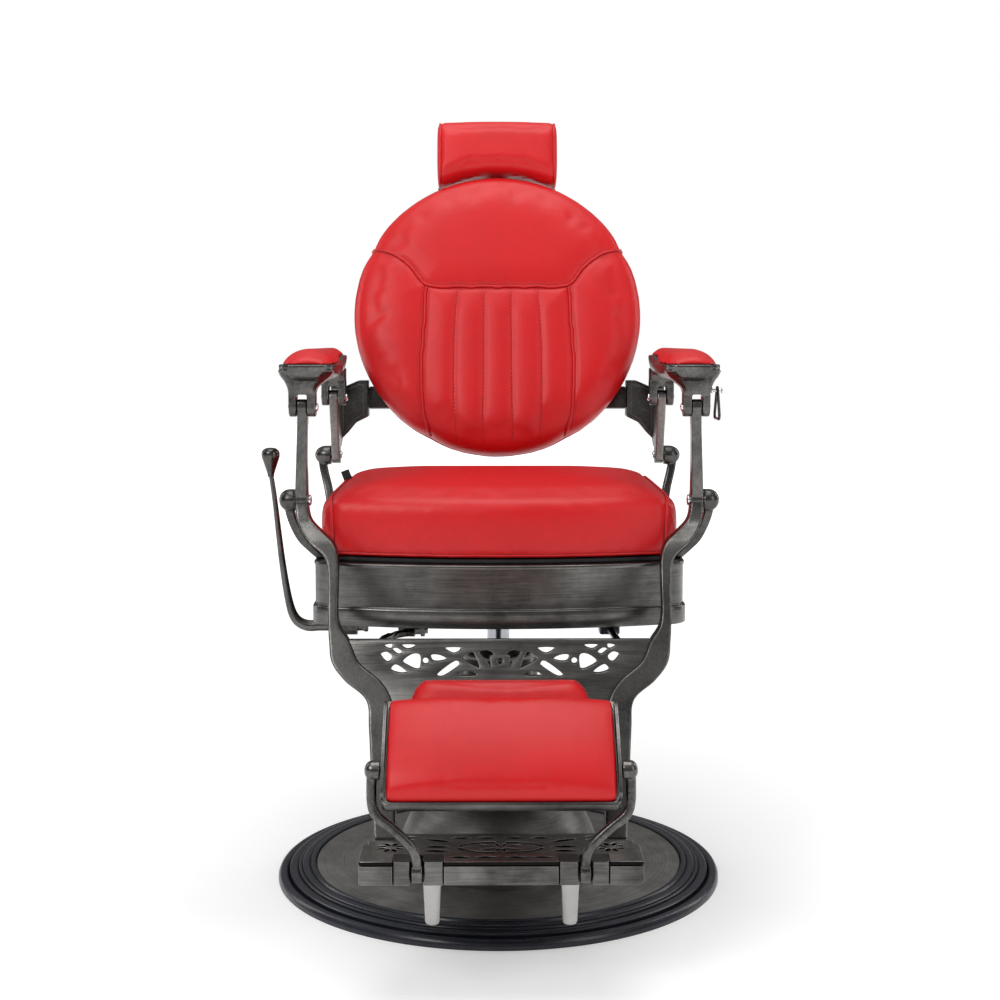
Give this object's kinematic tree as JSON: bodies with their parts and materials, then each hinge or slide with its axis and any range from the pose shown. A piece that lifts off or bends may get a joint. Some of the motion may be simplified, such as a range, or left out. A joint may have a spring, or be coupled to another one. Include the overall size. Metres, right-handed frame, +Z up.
{
  "type": "hydraulic barber chair",
  "caption": "Hydraulic barber chair with padded seat, round reclining back, sliding headrest, linked armrests and leg frame, and a fold-down padded footrest on a round floor base.",
  "frame": {"origin": "centre of the round base, on the floor", "axes": "+Z up along the pump's axis, -Y the way the sitter faces, +X the sitter's left"},
  "size_m": [0.7025, 0.9207, 1.2245],
  "materials": {
    "pewter": "aged pewter, brushed along its length",
    "dark_pewter": "darkened pewter casting, satin",
    "chrome": "polished chrome",
    "satin_aluminium": "satin aluminium",
    "steel": "zinc-plated steel",
    "leather": "red upholstery, fine grain, semi-gloss",
    "rubber": "blue-black rubber, satin",
    "black_board": "plywood board with black cover"
  },
  "bodies": {
    "seat": {"apron": "pewter", "front_bracket_left": "dark_pewter", "front_bracket_right": "dark_pewter", "front_pivot_bolt_left": "chrome", "front_pivot_bolt_right": "chrome", "lever_bearing": "dark_pewter", "lock_clamp": "dark_pewter", "lock_cylinder": "steel", "rear_bracket_left": "dark_pewter", "rear_bracket_right": "dark_pewter", "rear_pivot_bolt_left": "chrome", "rear_pivot_bolt_right": "chrome", "rest_stop": "rubber", "seat_board": "black_board", "seat_cushion": "leather", "seat_mount": "dark_pewter"},
    "armrest_left": {"armrest_left_frame": "pewter", "armrest_left_front_pin": "chrome", "armrest_left_pad": "leather", "armrest_left_rear_pin": "chrome"},
    "armrest_right": {"armrest_right_frame": "pewter", "armrest_right_front_pin": "chrome", "armrest_right_pad": "leather", "armrest_right_rear_pin": "chrome", "strop_peg": "chrome"},
    "back": {"back_bracket_left": "dark_pewter", "back_bracket_right": "dark_pewter", "back_crossbar": "dark_pewter", "back_cushion": "leather", "back_shell": "black_board", "headrest_guide": "dark_pewter"},
    "base": {"base_plate": "pewter", "base_ring": "rubber", "pump_cover": "pewter", "pump_housing": "dark_pewter"},
    "leg_frame": {"calf_pad": "leather", "calf_panel": "pewter", "foot_block_left": "pewter", "foot_block_right": "pewter", "foot_peg_left": "satin_aluminium", "foot_peg_right": "satin_aluminium", "foot_plate": "pewter", "leg_left": "pewter", "leg_right": "pewter", "yoke_arm_left": "dark_pewter", "yoke_arm_right": "dark_pewter"},
    "footrest_arms": {"footrest_arm_left": "pewter", "footrest_arm_right": "pewter"},
    "footrest_pad": {"footrest_cushion": "leather", "footrest_tray": "pewter"},
    "headrest": {"headrest_bar": "chrome", "headrest_cushion": "leather"},
    "recline_lever": {"lever_knob": "dark_pewter", "recline_lever": "pewter"},
    "lock_rod": {"lock_rod": "steel"},
    "pedal": {"pedal_pad": "rubber", "pump_pedal": "dark_pewter"},
    "piston": {"piston": "chrome"},
    "strop_ring": {"strop_ring": "chrome"}
  },
  "joints": [
    {"name": "pedal_pump", "type": "hinge", "parent": "base", "child": "pedal", "pos_m": [0, 0.092, 0.105], "axis": [-1, 0, 0], "range_deg": [0, 16], "stiffness_Nm_per_rad": 14, "springref_deg": -20.05},
    {"name": "seat_lift", "type": "slide", "parent": "base", "child": "piston", "axis": [0, 0, 1], "range_m": [0, 0.16]},
    {"name": "seat_swivel", "type": "hinge", "parent": "piston", "child": "seat", "pos_m": [0, 0, 0.45], "axis": [0, 0, 1], "continuous": true},
    {"name": "back_recline", "type": "hinge", "parent": "seat", "child": "back", "pos_m": [0.2724, 0.185, 0.654], "axis": [-1, 0, 0], "range_deg": [0, 40]},
    {"name": "armrest_left_hinge", "type": "hinge", "parent": "back", "child": "armrest_left", "pos_m": [-0.2724, 0.1493, 0.752], "axis": [-1, 0, 0], "range_deg": [-40, 0]},
    {"name": "armrest_right_hinge", "type": "hinge", "parent": "back", "child": "armrest_right", "pos_m": [0.2724, 0.1493, 0.752], "axis": [-1, 0, 0], "range_deg": [-40, 0]},
    {"name": "leg_swing", "type": "hinge", "parent": "seat", "child": "leg_frame", "pos_m": [0.2837, -0.21, 0.617], "axis": [-1, 0, 0], "range_deg": [0, 29.7]},
    {"name": "lock_slide", "type": "slide", "parent": "seat", "child": "lock_rod", "axis": [0, -1, 0], "range_m": [0, 0.106]},
    {"name": "headrest_slide", "type": "slide", "parent": "back", "child": "headrest", "axis": [0, 0.2756, 0.9613], "range_m": [0, 0.12]},
    {"name": "recline_lever_hinge", "type": "hinge", "parent": "seat", "child": "recline_lever", "pos_m": [-0.23, -0.13, 0.4205], "axis": [-1, 0, 0], "range_deg": [0, 25], "stiffness_Nm_per_rad": 4, "springref_deg": -8.59},
    {"name": "strop_ring_hinge", "type": "hinge", "parent": "armrest_right", "child": "strop_ring", "pos_m": [0.307, -0.2457, 0.7755], "axis": [1, 0, 0], "range_deg": [-35, 35]},
    {"name": "footrest_fold", "type": "hinge", "parent": "leg_frame", "child": "footrest_arms", "pos_m": [0.107, -0.5215, 0.1735], "axis": [1, 0, 0], "range_deg": [0, 70]},
    {"name": "footrest_tilt", "type": "hinge", "parent": "footrest_arms", "child": "footrest_pad", "pos_m": [0.154, -0.52, 0.304], "axis": [1, 0, 0], "range_deg": [0, 75]}
  ],
  "couplings": [
    {"joint": "armrest_left_hinge", "follows": "back_recline", "ratio": -1},
    {"joint": "armrest_right_hinge", "follows": "back_recline", "ratio": -1},
    {"joint": "leg_swing", "follows": "back_recline", "ratio": 0.74},
    {"joint": "lock_slide", "follows": "back_recline", "m_per_rad": 0.1494}
  ]
}
